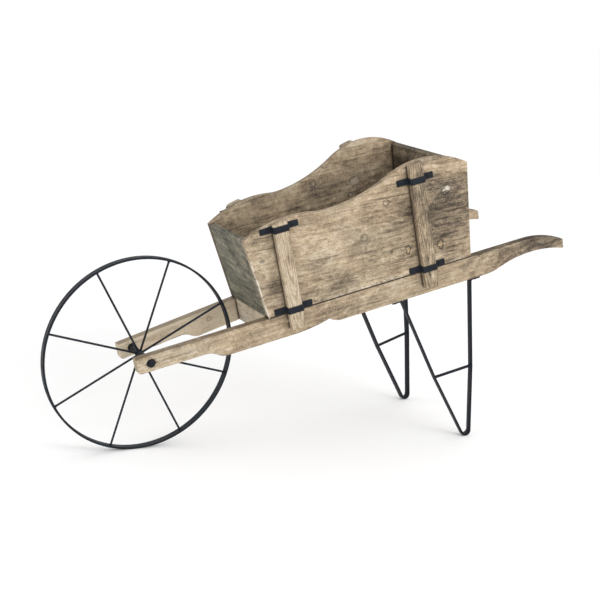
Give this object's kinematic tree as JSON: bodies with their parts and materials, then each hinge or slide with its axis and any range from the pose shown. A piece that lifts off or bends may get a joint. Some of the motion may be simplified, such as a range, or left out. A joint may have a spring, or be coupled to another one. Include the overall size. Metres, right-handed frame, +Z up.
{
  "type": "wheelbarrow planter",
  "caption": "Decorative wooden wheelbarrow planter: an open tapered box with wavy-topped sides on long curved shafts, with a spoked iron wheel that turns and bent iron legs.",
  "frame": {"origin": "on the ground under the middle of the bounding box", "axes": "+X from the wheel towards the handles, +Z up, +Y towards the nut end of the axle"},
  "size_m": [1.3792, 0.4194, 0.7795],
  "materials": {
    "shaft_wood": "weathered, brown-grey stain with worn edges",
    "side_wood": "weathered, brown-grey stain with worn edges",
    "end_wood": "weathered, dark grey-brown stain",
    "floor_wood": "rough sawn, dark stain",
    "batten_wood": "weathered, light tan stain",
    "dowel_wood": "plain turned hardwood",
    "black_iron": "satin black paint on forged iron",
    "zinc_steel": "dull zinc plate"
  },
  "bodies": {
    "frame": {"shaft_left": "shaft_wood", "shaft_right": "shaft_wood", "front_rail": "floor_wood", "rear_rail": "floor_wood", "floor_board_1": "floor_wood", "floor_board_2": "floor_wood", "floor_board_3": "floor_wood", "floor_board_4": "floor_wood", "floor_board_5": "floor_wood", "side_panel_left": "side_wood", "side_panel_right": "side_wood", "front_panel": "end_wood", "rear_panel": "end_wood", "batten_left_front": "batten_wood", "batten_left_rear": "batten_wood", "batten_right_front": "batten_wood", "batten_right_rear": "batten_wood", "strap_left_front_upper": "black_iron", "strap_left_front_lower": "black_iron", "strap_left_rear_upper": "black_iron", "strap_left_rear_lower": "black_iron", "strap_right_front_upper": "black_iron", "strap_right_front_lower": "black_iron", "strap_right_rear_upper": "black_iron", "strap_right_rear_lower": "black_iron", "strap_screws": "black_iron", "batten_screws": "zinc_steel", "floor_nails": "zinc_steel", "rail_dowels": "dowel_wood", "side_dowels": "dowel_wood", "corner_dowels": "dowel_wood", "leg_left": "black_iron", "leg_right": "black_iron", "leg_brace_left": "black_iron", "leg_brace_right": "black_iron", "leg_screws": "black_iron", "axle_bolt": "black_iron", "axle_nut": "black_iron", "outer_washers": "black_iron", "inner_washers": "black_iron"},
    "wheel": {"hub_tube": "black_iron", "spoke_1": "black_iron", "spoke_2": "black_iron", "spoke_3": "black_iron", "spoke_4": "black_iron", "spoke_5": "black_iron", "spoke_6": "black_iron", "spoke_7": "black_iron", "spoke_8": "black_iron", "wheel_rim": "black_iron"}
  },
  "joints": [
    {"name": "wheel_spin", "type": "hinge", "parent": "frame", "child": "wheel", "pos_m": [-0.43962, 0, 0.25], "axis": [0, 1, 0], "continuous": true}
  ]
}
